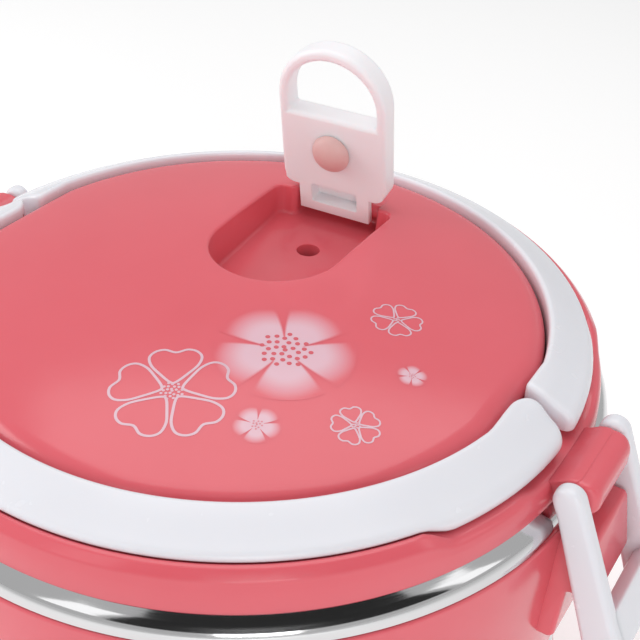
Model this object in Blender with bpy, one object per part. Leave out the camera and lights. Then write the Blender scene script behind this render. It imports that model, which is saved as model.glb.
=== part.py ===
"""Two-tier tiffin carrier (round lunch box with steel bowls in plastic shells).

Frame: origin at the centre of the foot, +Z up, +X towards the right-hand clips, +Y towards
the steam vent tab. Dimensions are in millimetres and are scaled to metres by MM.
"""
import math

import bmesh
import bpy

MM = 0.001

# Driving dimensions, in millimetres.
LID_EDGE_Z = 164.0          # height of the edge of the lid's domed top
TIER_PITCH = 75.0           # height that one tier adds to the stack
GAP = 0.3                   # space kept between neighbouring pieces

DOME_RADIUS = 65.4          # domed top of the lid
DOME_TOP = 4.3
DOME_FALL = 4.9             # drop of the dome from its middle to DOME_SPAN
DOME_SPAN = 62.0
DOME_WALL = 2.4
FLAT_X = 64.2               # flats on the dome's edge, beside the handle pads
WALL = 2.0                  # upright wall under the dome's edge
CHANNEL_FLOOR = -8.0        # depth of the channel that holds the carrying handle
PAD_FLOOR = -9.4            # deeper channel floor under the pivot pads
PAD_HALF_WIDTH = 12.5
FLANGE_RADIUS = 78.5        # outer radius of the lid's flange and of the tier's flange
FLANGE_DROP = 14.3          # flange's lower edge below the dome's edge

RIM_RADIUS = 81.0           # polished band of the steel bowl
RIM_DROP = 13.4             # crest of the bowl's rim below the lid's edge
BOWL_FLOOR = -TIER_PITCH - 7.8     # inner floor of the bowl, from the lid's edge
SHELL_FLOOR = -TIER_PITCH - 8.9    # inner floor of the shell, from the lid's edge
SHELL_UNDER = -TIER_PITCH - 10.9   # underside of the shell, inside its flange or foot
SHELL_LOW = -TIER_PITCH - 14.0     # surface that the lower tier's foot stands on
SHELL_RADIUS = 81.4         # top edge of the plastic shell
SHELL_DROP = 19.8

HANDLE_INNER = 65.7         # inner radius of the two half-ring handles
HANDLE_FLAT_X = 64.5
HANDLE_THICKNESS = 7.6
FRONT_END_Y = 0.8           # the front half's ends reach just past the clip axis
REAR_END_Y = 3.5            # the rear half's ends stop short of it
FRONT_PIVOT_Y = -2.45
REAR_PIVOT_Y = 6.75
PIVOT_Z = -2.9
GRIP_AZIMUTH = 28.5         # beyond this angle from the clip axis the handle's lip is cut higher
GRIP_BLEND = 2.0

CLIP_PIVOT_X = 81.7
CLIP_PIVOT_DROP = 9.4
CLIP_LEAN = 21.0            # the open clips stand out by this many degrees
CLIP_HALF_WIDTH = 14.0
CLIP_WINDOW_HALF = 10.0
LUG_HALF_WIDTH = 9.6
CATCH_HALF_WIDTH = 9.3

VENT_TURN = 5.0             # the vent, its pocket and its tab are turned about the lid's axis
VENT_Y = 29.6               # steam vent in the pocket's floor
VENT_RADIUS = 2.7
POCKET_FLOOR = -6.0
POCKET_WALL = 1.8
POCKET_BACK = 43.5
BAY_HALF = 11.0             # narrow bay behind the pocket, for the tab's hinge
BAY_BACK = 50.4
EAR_INNER = 7.8             # the lid's two hinge ears stand inside the bay
EAR_RADIUS = 1.9
TAB_HINGE_Y = 47.3
TAB_HINGE_Z = -0.8
TAB_LEAN = 9.5              # the open tab leans forward by this many degrees
TAB_FRONT = -4.2            # front and back faces of the tab, from its hinge axis
TAB_BACK = 1.8
TAB_PLATE_BACK = -2.4       # back of the thin plates on both sides of the neck
TAB_BASE = -1.5             # lower end of the neck, from the hinge axis
PLUG_HEIGHT = 17.1          # plug's centre above the hinge axis

SEGMENTS = 48

PINK = (0.78, 0.17, 0.20, 1.0)
WHITE = (0.80, 0.80, 0.84, 1.0)
MILKY = (0.85, 0.72, 0.74, 1.0)
SILICONE = (0.84, 0.58, 0.55, 1.0)
STEEL_GREY = (0.62, 0.62, 0.63, 1.0)


# Scene and materials

def clear_scene():
    for item in list(bpy.data.objects):
        bpy.data.objects.remove(item, do_unlink=True)


def make_material(name, colour, roughness, metallic=0.0):
    material = bpy.data.materials.new(name)
    material.use_nodes = True
    shader = material.node_tree.nodes["Principled BSDF"]
    shader.inputs["Base Color"].default_value = colour
    shader.inputs["Roughness"].default_value = roughness
    shader.inputs["Metallic"].default_value = metallic
    return material


# Mesh helpers: every solid is built from points in millimetres

def finish_mesh(name, mesh_data, material, location=(0.0, 0.0, 0.0)):
    bmesh.ops.remove_doubles(mesh_data, verts=mesh_data.verts, dist=1e-6)
    bmesh.ops.recalc_face_normals(mesh_data, faces=mesh_data.faces)
    mesh = bpy.data.meshes.new(name)
    mesh_data.to_mesh(mesh)
    mesh_data.free()
    mesh.shade_smooth()
    mesh.set_sharp_from_angle(angle=math.radians(35.0))
    item = bpy.data.objects.new(name, mesh)
    item.location = [value * MM for value in location]
    if material is not None:
        mesh.materials.append(material)
    bpy.context.collection.objects.link(item)
    return item


def uniform_azimuths(count=SEGMENTS):
    return [360.0 * index / count for index in range(count)]


def add_loop(mesh_data, points, azimuth):
    """One turned station: (radius, height) points placed at an azimuth in degrees."""
    c = math.cos(math.radians(azimuth))
    s = math.sin(math.radians(azimuth))
    return [mesh_data.verts.new((r * c * MM, r * s * MM, z * MM)) for r, z in points]


def bridge(mesh_data, first, second, wrap):
    count = len(first)
    for index in range(count if wrap else count - 1):
        after = (index + 1) % count
        mesh_data.faces.new((first[index], first[after], second[after], second[index]))


def turned(name, section, material, azimuths=None):
    """Solid turned about Z. The section runs from axis to axis, or is a closed ring outline."""
    azimuths = azimuths or uniform_azimuths()
    mesh_data = bmesh.new()
    loops = [add_loop(mesh_data, section(azimuth), azimuth) for azimuth in azimuths]
    points = section(0.0)
    on_axis = points[0][0] == 0.0 and points[-1][0] == 0.0
    for index, loop in enumerate(loops):
        bridge(mesh_data, loop, loops[(index + 1) % len(loops)], wrap=not on_axis)
    return finish_mesh(name, mesh_data, material)


def layered(name, layers, axis, material, location=(0.0, 0.0, 0.0)):
    """Solid through equally long outlines, each at its own depth along an axis."""
    mesh_data = bmesh.new()
    loops = []
    for outline, depth in layers:
        points = []
        for first, second in outline:
            place = {"X": (depth, first, second), "Y": (first, depth, second),
                     "Z": (first, second, depth)}
            points.append(mesh_data.verts.new([value * MM for value in place[axis]]))
        loops.append(points)
    mesh_data.faces.new(loops[0])
    mesh_data.faces.new(loops[-1])
    for first, second in zip(loops, loops[1:]):
        bridge(mesh_data, first, second, wrap=True)
    return finish_mesh(name, mesh_data, material, location)


def prism(name, outline, low, high, axis, material, location=(0.0, 0.0, 0.0)):
    """Outline extruded along an axis; its two coordinates run along the other two axes."""
    return layered(name, [(outline, low), (outline, high)], axis, material, location)


def spun_pin(name, profile, axis, material, location, sides=16):
    """Pin or plug turned about X or Y; the profile holds (radius, position along the axis)."""
    mesh_data = bmesh.new()
    loops = []
    for index in range(sides):
        angle = 2.0 * math.pi * index / sides
        loop = []
        for radius, along in profile:
            u = radius * math.cos(angle)
            v = radius * math.sin(angle)
            place = {"X": (along, u, v), "Y": (u, along, v), "Z": (u, v, along)}
            loop.append(mesh_data.verts.new([value * MM for value in place[axis]]))
        loops.append(loop)
    for index, loop in enumerate(loops):
        bridge(mesh_data, loop, loops[(index + 1) % sides], wrap=False)
    return finish_mesh(name, mesh_data, material, location)


def rod(name, radius, low, high, axis, material, location=(0.0, 0.0, 0.0), sides=16):
    return spun_pin(name, [(0.0, low), (radius, low), (radius, high), (0.0, high)],
                    axis, material, location, sides)


def cut(target, tool, operation="DIFFERENCE"):
    """Boolean kept on the target; the tool becomes a hidden guide."""
    tool.hide_render = True
    tool.display_type = "WIRE"
    modifier = target.modifiers.new(tool.name, "BOOLEAN")
    modifier.operation = operation
    modifier.object = tool


def arc(centre, radii, start, end, steps):
    """Points on an ellipse from start to end, in degrees."""
    points = []
    for index in range(steps + 1):
        angle = math.radians(start + (end - start) * index / steps)
        points.append((centre[0] + radii[0] * math.cos(angle), centre[1] + radii[1] * math.sin(angle)))
    return points


def blend(low, high, amount):
    return low + (high - low) * amount


# Lid: heights are measured from the edge of the domed top

def dome_height(radius):
    return DOME_TOP - DOME_FALL * (radius / DOME_SPAN) ** 2


def lid_azimuths():
    quarter = [0, 5.5, 9.5, 13.4, 20, 26.5, 30.5, 36.5, 42.5, 48.5, 54.5, 60.5, 66.5, 72.5, 78.5, 84.5]
    angles = []
    for start in (0.0, 180.0):
        angles += [start + angle for angle in quarter]
        angles += [start + 90.0]
        angles += [start + 180.0 - angle for angle in reversed(quarter[1:])]
    return angles


def from_clip_axis(azimuth):
    """Angle to the nearer end of the clip axis, 0 to 90 degrees."""
    folded = abs(azimuth) % 180.0
    return min(folded, 180.0 - folded)


def grip_amount(azimuth):
    """0 beside the pivots, 1 along the gripping part of the handle."""
    start = GRIP_AZIMUTH - GRIP_BLEND
    return min(1.0, max(0.0, (from_clip_axis(azimuth) - start) / (2.0 * GRIP_BLEND)))


def pad_amount(azimuth, radius):
    return 1.0 if radius * math.sin(math.radians(from_clip_axis(azimuth))) < PAD_HALF_WIDTH else 0.0


def flat_limited(radius, flat_x, azimuth):
    return min(radius, flat_x / max(0.2, math.cos(math.radians(from_clip_axis(azimuth)))))


def lid_section(azimuth):
    edge = flat_limited(DOME_RADIUS, FLAT_X, azimuth)
    grip = grip_amount(azimuth)
    pad = pad_amount(azimuth, 70.0)
    floor = blend(CHANNEL_FLOOR, PAD_FLOOR, pad)
    top = [(radius, dome_height(radius)) for radius in (0.0, 18.0, 34.0, 48.0, 56.0)]
    roll = [(edge - 4.2, -0.4), (edge - 2.6, -1.0), (edge - 1.4, -1.75), (edge - 0.6, -2.6),
            (edge - 0.15, -3.6), (edge, -4.8), (edge, floor), (73.5, floor)]
    flange = [(blend(74.6, 73.8, grip), blend(floor, -5.9, grip)),
              (blend(76.3, 75.0, grip), blend(floor, -5.8, grip)),
              (blend(76.9, 75.5, grip), blend(floor - 0.1, -5.1, grip)),
              (blend(77.5, 76.4, grip), blend(floor - 0.5, -5.2, grip)),
              (77.9, blend(floor - 1.1, -6.8, grip)), (78.25, blend(floor - 2.4, -9.2, grip)),
              (FLANGE_RADIUS, -FLANGE_DROP), (77.5, -13.9), (76.3, -12.8), (76.2, -10.9)]
    under = [(edge - WALL, -10.9), (edge - WALL, -4.4), (edge - 5.0, -3.2)]
    inside = [(radius, dome_height(radius) - DOME_WALL) for radius in (48.0, 34.0, 18.0, 0.0)]
    return [(radius, LID_EDGE_Z + height) for radius, height in top + roll + flange + under + inside]


def vent_frame(points):
    """Plan points of the vent assembly, turned about the lid's axis."""
    c = math.cos(math.radians(VENT_TURN))
    s = math.sin(math.radians(VENT_TURN))
    return [(x * c - y * s, x * s + y * c) for x, y in points]


def vent_place(height, y):
    """Place on the vent assembly's middle plane."""
    x_turned, y_turned = vent_frame([(0.0, y)])[0]
    return (x_turned, y_turned, LID_EDGE_Z + height)


def pocket_outline(grow, steps=10):
    """Pocket in plan: round in front, with a narrow bay for the hinge behind."""
    half = 15.1 + grow
    back = POCKET_BACK + grow
    front = arc((0.0, 14.0), (half, 16.0 + grow), 180.0, 360.0, steps)
    right = [(half + 0.5, 39.5), (half + 0.2, 41.8), (half - 2.0, back), (BAY_HALF + grow, back),
             (BAY_HALF + grow, BAY_BACK + grow)]
    left = [(-x, y) for x, y in reversed(right)]
    return vent_frame(front + right + left)


def lug_outline():
    """Clip lug in side view, from the flange outwards."""
    return [(77.35, -8.7), (80.4, -7.1), (84.0, -7.0), (85.6, -7.7), (86.4, -9.3), (86.4, -13.0), (85.2, -14.2),
            (78.6, -14.2), (77.6, -13.6), (77.0, -12.9), (77.0, -10.6), (77.35, -10.6)]


def add_lugs(target, drop, material):
    """Lug, with its pin hole, at each end of the clip axis."""
    for side, sign in (("right", 1.0), ("left", -1.0)):
        outline = [(sign * x, z + LID_EDGE_Z - drop) for x, z in lug_outline()]
        lug = prism(f"{target.name}_lug_{side}", outline, -LUG_HALF_WIDTH, LUG_HALF_WIDTH, "Y", material)
        cut(target, lug, "UNION")
    for side, sign in (("right", 1.0), ("left", -1.0)):
        place = (sign * CLIP_PIVOT_X, 0.0, LID_EDGE_Z - drop - CLIP_PIVOT_DROP)
        hole = rod(f"{target.name}_pin_hole_{side}", 1.5, -12.0, 12.0, "Y", None, place)
        cut(target, hole)


def domed_tub(name, outline, bottom, below_dome, material):
    """Solid under the domed top: flat bottom, upper side following the dome from beneath."""
    mesh_data = bmesh.new()
    lower = [mesh_data.verts.new((x * MM, y * MM, (LID_EDGE_Z + bottom) * MM)) for x, y in outline]
    upper = []
    for x, y in outline:
        height = LID_EDGE_Z + dome_height(math.hypot(x, y)) - below_dome
        upper.append(mesh_data.verts.new((x * MM, y * MM, height * MM)))
    x_vent, y_vent = vent_place(0.0, VENT_Y)[:2]
    middle = LID_EDGE_Z + dome_height(VENT_Y) - below_dome
    hub = mesh_data.verts.new((x_vent * MM, y_vent * MM, middle * MM))
    bridge(mesh_data, lower, upper, wrap=True)
    mesh_data.faces.new(lower)
    for index, vertex in enumerate(upper):
        mesh_data.faces.new((vertex, upper[(index + 1) % len(upper)], hub))
    return finish_mesh(name, mesh_data, material)


def ear_outline():
    """Hinge ear in side view about the tab's axis: round in front, joined to the bay's back wall."""
    back = BAY_BACK + 1.0 - TAB_HINGE_Y
    nose = arc((0.0, 0.0), (EAR_RADIUS, EAR_RADIUS), 90.0, 270.0, 6)
    return nose + [(back, -EAR_RADIUS), (back, 1.0)]


def build_lid_cover(pink):
    cover = turned("lid_cover", lid_section, pink, lid_azimuths())
    mouth = prism("pocket_mouth", pocket_outline(POCKET_WALL + GAP), LID_EDGE_Z + POCKET_FLOOR,
                  LID_EDGE_Z + 12.0, "Z", None)
    cut(cover, mouth)
    add_lugs(cover, 0.0, pink)
    for name, sign_x, pivot_y in handle_ends():
        hole = rod(f"wall_hole_{name}", 1.4, sign_x * 61.0, sign_x * 66.0, "X", None,
                   (0.0, pivot_y, LID_EDGE_Z + PIVOT_Z), 12)
        cut(cover, hole)


def build_vent_cup(pink):
    """Pocket of the vent, flush with the dome, with the hinge ears of the tab."""
    cup = domed_tub("vent_cup", pocket_outline(POCKET_WALL), POCKET_FLOOR - 2.0, 0.0, pink)
    pocket = prism("pocket_cut", pocket_outline(0.0), LID_EDGE_Z + POCKET_FLOOR, LID_EDGE_Z + 12.0, "Z", None)
    cut(cup, pocket)
    axis_place = vent_place(TAB_HINGE_Z, TAB_HINGE_Y)
    for side, sign in (("right", 1.0), ("left", -1.0)):
        ear = prism(f"tab_ear_{side}", ear_outline(), sign * EAR_INNER, sign * (BAY_HALF + 0.6), "X",
                    pink, axis_place)
        ear.rotation_euler[2] = math.radians(VENT_TURN)
        cut(cup, ear, "UNION")
    hinge_hole = rod("tab_pin_hole", 1.0, -10.2, 10.2, "X", None, axis_place, 12)
    hinge_hole.rotation_euler[2] = math.radians(VENT_TURN)
    cut(cup, hinge_hole)
    vent = rod("vent_cut", VENT_RADIUS, -6.0, 4.0, "Z", None, vent_place(POCKET_FLOOR, VENT_Y), 20)
    cut(cup, vent)


def build_lid_inside(white, silicone):
    """Inner plate of the lid and its sealing ring."""
    plate = [(0.0, -11.2), (72.4, -11.2), (72.4, -18.0), (70.9, -18.0), (70.5, -13.2), (0.0, -13.2)]
    liner = turned("lid_liner", lambda azimuth: [(r, LID_EDGE_Z + z) for r, z in plate], white)
    cut(liner, rod("liner_vent_cut", VENT_RADIUS, -2.0, 3.0, "Z", None, vent_place(-13.2, VENT_Y), 20))
    build_gasket("lid_gasket", 0.0, silicone)


def build_gasket(name, drop, silicone):
    ring = [(73.0, -11.2), (75.9, -11.2), (75.9, -12.4), (75.4, -13.0), (74.0, -13.0), (73.0, -12.3)]
    turned(name, lambda azimuth: [(r, LID_EDGE_Z - drop + z) for r, z in ring], silicone)


# Carrying handle: two half rings that lie in the lid's channel

def handle_ends():
    """Name, side and pivot of each of the four ends."""
    return [("front_right", 1.0, FRONT_PIVOT_Y), ("front_left", -1.0, FRONT_PIVOT_Y),
            ("rear_right", 1.0, REAR_PIVOT_Y), ("rear_left", -1.0, REAR_PIVOT_Y)]


def handle_section(azimuth):
    inner = flat_limited(HANDLE_INNER, HANDLE_FLAT_X, azimuth)
    grip = grip_amount(azimuth)
    bottom = -HANDLE_THICKNESS
    top = [(inner, -0.75), (inner + 0.35, -0.15), (inner + 1.0, 0.0), (68.6, -0.85), (70.8, -1.95),
           (72.8, -2.95), (74.4, -3.7)]
    lip = [(blend(75.2, 75.0, grip), blend(-4.4, -4.2, grip)),
           (blend(75.8, 75.2, grip), blend(-5.6, -4.9, grip)),
           (blend(75.6, 74.9, grip), blend(bottom, -5.5, grip)),
           (blend(73.4, 73.2, grip), blend(bottom, -5.6, grip))]
    return [(inner, bottom)] + top + lip + [(73.1, bottom)]


def build_handle(name, sign, end_y, pivot_y, white):
    """Half ring on the sign's side of the clip axis, with flat ends at end_y."""
    middle = [azimuth for azimuth in lid_azimuths() if 6.0 < azimuth < 174.0]
    mesh_data = bmesh.new()
    loops = []
    for end_x in (1.0, -1.0):
        loop = []
        for radius, height in handle_section(0.0 if end_x > 0.0 else 180.0):
            reach = math.sqrt(radius ** 2 - end_y ** 2) if radius > HANDLE_FLAT_X else radius
            place = (end_x * reach * MM, end_y * MM, (LID_EDGE_Z + height) * MM)
            loop.append(mesh_data.verts.new(place))
        loops.append(loop)
    for azimuth in middle:
        points = [(r, LID_EDGE_Z + z) for r, z in handle_section(azimuth)]
        loops.insert(-1, add_loop(mesh_data, points, sign * azimuth))
    for first, second in zip(loops, loops[1:]):
        bridge(mesh_data, first, second, wrap=True)
    mesh_data.faces.new(loops[0])
    mesh_data.faces.new(loops[-1])
    for vertex in mesh_data.verts:
        vertex.co.y -= pivot_y * MM
        vertex.co.z -= (LID_EDGE_Z + PIVOT_Z) * MM
    handle = finish_mesh(name, mesh_data, white, (0.0, pivot_y, LID_EDGE_Z + PIVOT_Z))
    for side, sign_x in (("right", 1.0), ("left", -1.0)):
        hole = rod(f"{name}_hole_{side}", 1.4, sign_x * 63.0, sign_x * 71.3, "X", None,
                   (0.0, pivot_y, LID_EDGE_Z + PIVOT_Z), 12)
        cut(handle, hole)


def build_handle_pins(steel):
    for name, sign_x, pivot_y in handle_ends():
        profile = [(0.0, 62.4), (1.1, 62.4), (1.1, 71.0), (0.0, 71.0)]
        spun_pin(f"handle_pin_{name}", [(radius, sign_x * along) for radius, along in profile], "X", steel,
                 (0.0, pivot_y, LID_EDGE_Z + PIVOT_Z), 12)


# Vent tab: built upright about its hinge axis, then leaned forward

def tab_outline(inset):
    """Front view of the tab, heights measured from the hinge axis."""
    neck = 9.4
    half = 13.8 - inset
    shoulder = 5.5 + 0.3 * inset
    left_corner = arc((-half + 3.2, shoulder + 3.2), (3.2, 3.2), 270.0, 180.0, 3)
    right_corner = arc((half - 3.2, shoulder + 3.2), (3.2, 3.2), 0.0, -90.0, 3)
    arch = arc((0.0, 30.0), (half, 13.8 - inset), 180.0, 0.0, 14)
    foot = [(neck, TAB_BASE), (-neck, TAB_BASE), (-neck, shoulder)]
    return foot + left_corner + arch + right_corner + [(neck, shoulder)]


def tab_loop_outline():
    """Finger opening of the tab."""
    return [(-11.3, 26.1), (11.3, 26.1)] + arc((0.0, 30.0), (11.3, 10.8), 0.0, 180.0, 12)


def box_outline(low_x, low_z, high_x, high_z):
    return [(low_x, low_z), (high_x, low_z), (high_x, high_z), (low_x, high_z)]


def build_vent_tab(milky, silicone, steel):
    axis_place = vent_place(TAB_HINGE_Z, TAB_HINGE_Y)
    layers = []
    for inset, from_face in ((1.2, 0.0), (0.4, 0.5), (0.0, 1.5)):
        layers.append((tab_outline(inset), TAB_FRONT + from_face))
    for inset, from_face in ((0.0, 1.5), (0.4, 0.5), (1.2, 0.0)):
        layers.append((tab_outline(inset), TAB_BACK - from_face))
    tab = layered("vent_tab", layers, "Y", milky, axis_place)
    cutters = [prism("tab_loop_cut", tab_loop_outline(), -9.0, 9.0, "Y", None, axis_place),
               prism("tab_recess_cut", box_outline(-6.2, 1.1, 6.2, 6.3), -9.0, TAB_FRONT + 3.8, "Y", None,
                     axis_place),
               rod("tab_hinge_hole", 0.95, -9.0, 9.0, "X", None, axis_place, 12),
               rod("tab_plug_hole", 2.6, -9.0, 9.0, "Y", None, axis_place, 12)]
    for side, sign in (("right", 1.0), ("left", -1.0)):
        outline = box_outline(sign * 7.4, TAB_BASE - 2.0, sign * 12.0, 5.3)
        cutters.append(prism(f"tab_side_cut_{side}", outline, TAB_PLATE_BACK, 9.0, "Y", None, axis_place))
    front = TAB_FRONT
    back = TAB_BACK
    plug_profile = [(0.0, front - 3.3), (1.6, front - 3.1), (3.3, front - 2.3), (4.4, front - 1.1),
                    (4.8, front - GAP), (2.3, front - GAP), (2.3, back + GAP), (3.4, back + GAP),
                    (3.2, back + 0.9), (0.0, back + 0.9)]
    plug = spun_pin("vent_plug", plug_profile, "Y", silicone, axis_place, 20)
    for piece in (plug, cutters[3]):
        for vertex in piece.data.vertices:
            vertex.co.z += PLUG_HEIGHT * MM
    pin = rod("vent_hinge_pin", 0.7, -9.9, 9.9, "X", steel, axis_place, 12)
    pin.rotation_euler[2] = math.radians(VENT_TURN)
    for piece in [tab, plug] + cutters:
        piece.rotation_euler = (math.radians(TAB_LEAN), 0.0, math.radians(VENT_TURN))
    for cutter in cutters:
        cut(tab, cutter)


# Clips: side view in (outward, along) coordinates, along running away from the pivot

def clip_outline():
    top = arc((0.0, 0.0), (3.1, 3.1), 0.0, 180.0, 8)
    inner = [(-2.9, -4.0), (-3.6, -27.1), (-3.8, -35.6), (-3.0, -37.9), (-1.2, -38.7)]
    outer = [(2.6, -38.5), (4.2, -37.1), (4.3, -34.6), (3.9, -28.1), (3.2, -4.0)]
    return top + inner + outer


def clip_window_outline():
    """Space between the arms, down to the hook's sloping top and its inner face."""
    return [(6.0, 6.0), (-6.0, 6.0), (-6.0, -38.1), (-4.6, -38.1), (-0.35, -28.5), (3.95, -26.3),
            (6.0, -25.3)]


def build_clip(name, side_sign, drop, white, steel):
    place = (side_sign * CLIP_PIVOT_X, 0.0, LID_EDGE_Z - drop - CLIP_PIVOT_DROP)
    clip = prism(name, clip_outline(), -CLIP_HALF_WIDTH, CLIP_HALF_WIDTH, "Y", white, place)
    window = prism(f"{name}_window", clip_window_outline(), -CLIP_WINDOW_HALF, CLIP_WINDOW_HALF, "Y",
                   None, place)
    hole = rod(f"{name}_hole", 1.5, -13.6, 13.6, "Y", None, place)
    turn = 0.0 if side_sign > 0.0 else math.pi
    for piece in (clip, window, hole):
        piece.rotation_euler = (0.0, -math.radians(CLIP_LEAN), turn)
    cut(clip, window)
    cut(clip, hole)
    rod(name.replace("clip", "clip_pin"), 1.2, -13.3, 13.3, "Y", steel, place)


# Tiers: heights are measured from the lid's edge, less the tier's drop

def catch_outline():
    """Catch in side view, with the plate below it that stands out from the shell's wall."""
    return [(79.9, -20.3), (87.2, -20.3), (87.8, -21.2), (90.3, -33.6), (89.3, -35.3), (84.3, -35.3),
            (83.8, -49.0), (82.8, -50.0), (79.2, -50.0)]


def add_catches(target, drop, material):
    for side, sign in (("right", 1.0), ("left", -1.0)):
        outline = [(sign * x, z + LID_EDGE_Z - drop) for x, z in catch_outline()]
        catch = prism(f"{target.name}_catch_{side}", outline, -CATCH_HALF_WIDTH, CATCH_HALF_WIDTH, "Y",
                      material)
        cut(target, catch, "UNION")


def shell_wall():
    """Outer side of a tier's shell, from its top edge down to the flange."""
    return [(79.5, -SHELL_DROP), (81.1, -SHELL_DROP), (SHELL_RADIUS, -20.3), (81.2, -33.0), (80.7, -52.0),
            (79.7, SHELL_LOW + 16.0), (78.8, SHELL_LOW + 6.0)]


def shell_inside():
    return [(0.0, SHELL_FLOOR), (73.5, SHELL_FLOOR), (76.6, SHELL_FLOOR + 3.4)]


def build_shell(name, drop, under, material):
    """Cup-shaped plastic shell; under lists its underside from the outer edge to the axis."""
    points = shell_inside() + shell_wall() + under
    shell = turned(name, lambda azimuth: [(r, LID_EDGE_Z - drop + z) for r, z in points], material)
    add_catches(shell, drop, material)
    return shell


def bowl_section():
    inside = [(0.0, BOWL_FLOOR), (61.0, BOWL_FLOOR), (67.0, BOWL_FLOOR + 1.6), (70.3, BOWL_FLOOR + 5.8),
              (71.2, BOWL_FLOOR + 13.8), (73.6, -16.0)]
    crest = [(74.4, -13.7), (75.4, -RIM_DROP), (76.6, -13.6), (78.5, -14.9), (80.1, -16.1),
             (RIM_RADIUS, -18.0), (RIM_RADIUS, -19.5)]
    under = [(80.2, -19.5), (80.2, -18.2), (79.4, -16.6), (78.0, -15.6), (76.3, -14.5), (75.2, -14.4),
             (74.4, -16.2)]
    outside = [(72.0, BOWL_FLOOR + 13.8), (71.0, BOWL_FLOOR + 5.4), (67.4, BOWL_FLOOR + 0.8),
               (61.2, BOWL_FLOOR - 0.8), (0.0, BOWL_FLOOR - 0.8)]
    return inside + crest + under + outside


def build_bowl(name, drop, steel):
    return turned(name, lambda azimuth: [(r, LID_EDGE_Z - drop + z) for r, z in bowl_section()], steel)


def build_tiers(pink, white, steel, silicone):
    flange = [(78.5, SHELL_LOW + 3.0), (FLANGE_RADIUS, SHELL_LOW - 0.3), (77.5, SHELL_LOW + 0.1),
              (76.3, SHELL_LOW + 1.2), (76.2, SHELL_UNDER), (0.0, SHELL_UNDER)]
    foot = [(78.4, SHELL_LOW + 2.5), (77.8, SHELL_LOW + 0.6), (77.0, SHELL_LOW), (72.5, SHELL_LOW),
            (71.6, SHELL_UNDER), (0.0, SHELL_UNDER)]
    upper = build_shell("upper_shell", 0.0, flange, pink)
    add_lugs(upper, TIER_PITCH, pink)
    build_shell("lower_shell", TIER_PITCH, foot, pink)
    build_bowl("upper_bowl", 0.0, steel)
    build_bowl("lower_bowl", TIER_PITCH, steel)
    build_gasket("tier_gasket", TIER_PITCH, silicone)


def main():
    clear_scene()
    pink = make_material("pink_plastic", PINK, 0.22)
    white = make_material("white_plastic", WHITE, 0.25)
    milky = make_material("milky_plastic", MILKY, 0.35)
    silicone = make_material("silicone", SILICONE, 0.5)
    steel = make_material("polished_steel", STEEL_GREY, 0.12, 1.0)
    build_lid_cover(pink)
    build_vent_cup(pink)
    build_lid_inside(white, silicone)
    build_handle("handle_front", -1.0, FRONT_END_Y, FRONT_PIVOT_Y, white)
    build_handle("handle_rear", 1.0, REAR_END_Y, REAR_PIVOT_Y, white)
    build_handle_pins(steel)
    build_vent_tab(milky, silicone, steel)
    build_tiers(pink, white, steel, silicone)
    for prefix, drop in (("lid", 0.0), ("tier", TIER_PITCH)):
        for side, sign in (("right", 1.0), ("left", -1.0)):
            build_clip(f"{prefix}_clip_{side}", sign, drop, white, steel)


main()
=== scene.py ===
"""Visual model of a two-tier tiffin carrier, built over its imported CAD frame.

Lengths in this file are millimetres, scaled by MM. Heights written from the lid's edge are
raised by LID_EDGE_Z. The frame's origin is the centre of the foot, +Z up, +X towards the
right-hand clips and +Y towards the steam vent tab.
"""
import math

import bmesh
import bpy
from mathutils import Matrix, Vector, geometry


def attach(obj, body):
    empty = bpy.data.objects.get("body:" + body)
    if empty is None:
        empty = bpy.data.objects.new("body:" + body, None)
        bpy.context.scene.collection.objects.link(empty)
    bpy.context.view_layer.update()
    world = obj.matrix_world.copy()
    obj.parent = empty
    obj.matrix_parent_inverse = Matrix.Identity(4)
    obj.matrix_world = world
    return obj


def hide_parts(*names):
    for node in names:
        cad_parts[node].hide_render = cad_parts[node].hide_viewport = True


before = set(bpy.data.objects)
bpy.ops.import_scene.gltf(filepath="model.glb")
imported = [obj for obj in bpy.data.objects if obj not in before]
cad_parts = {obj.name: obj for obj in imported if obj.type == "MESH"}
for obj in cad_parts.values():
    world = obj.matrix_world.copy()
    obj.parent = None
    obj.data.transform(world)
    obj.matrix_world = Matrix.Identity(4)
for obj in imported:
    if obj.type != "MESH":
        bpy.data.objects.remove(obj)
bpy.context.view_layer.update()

MM = 0.001
LID_EDGE_Z = 164.0
TIER_PITCH = 75.0
BOWL_FLOOR = -TIER_PITCH - 7.8
SHELL_FLOOR = -TIER_PITCH - 8.9
SHELL_UNDER = -TIER_PITCH - 10.9
SHELL_LOW = -TIER_PITCH - 14.0

DOME_RADIUS = 65.4
DOME_TOP = 4.3
DOME_FALL = 4.9
DOME_SPAN = 62.0
FLAT_X = 64.2
CHANNEL_FLOOR = -8.0
PAD_FLOOR = -9.4
FLANGE_RADIUS = 78.5

HANDLE_INNER = 65.7
HANDLE_FLAT_X = 64.5
FRONT_END_Y = 0.8
REAR_END_Y = 3.5
HANDLE_BOTTOM = -7.6
FRONT_PIVOT_Y = -2.45
REAR_PIVOT_Y = 6.75
PIVOT_Z = -2.9
PIN_INNER_X = 64.8          # handle pins, hidden inside the handles' ends
PIN_OUTER_X = 67.8
PIN_RADIUS = 0.7
GRIP_AZIMUTH = 28.5
GRIP_BLEND = 2.0

CLIP_PIVOT_X = 81.7
CLIP_PIVOT_DROP = 9.4
CLIP_LEAN = 21.0
CLIP_HALF_WIDTH = 14.0
CLIP_WINDOW_HALF = 10.0
LUG_HALF_WIDTH = 9.6
LUG_CORNER = 2.2
CATCH_HALF_WIDTH = 9.3

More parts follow.
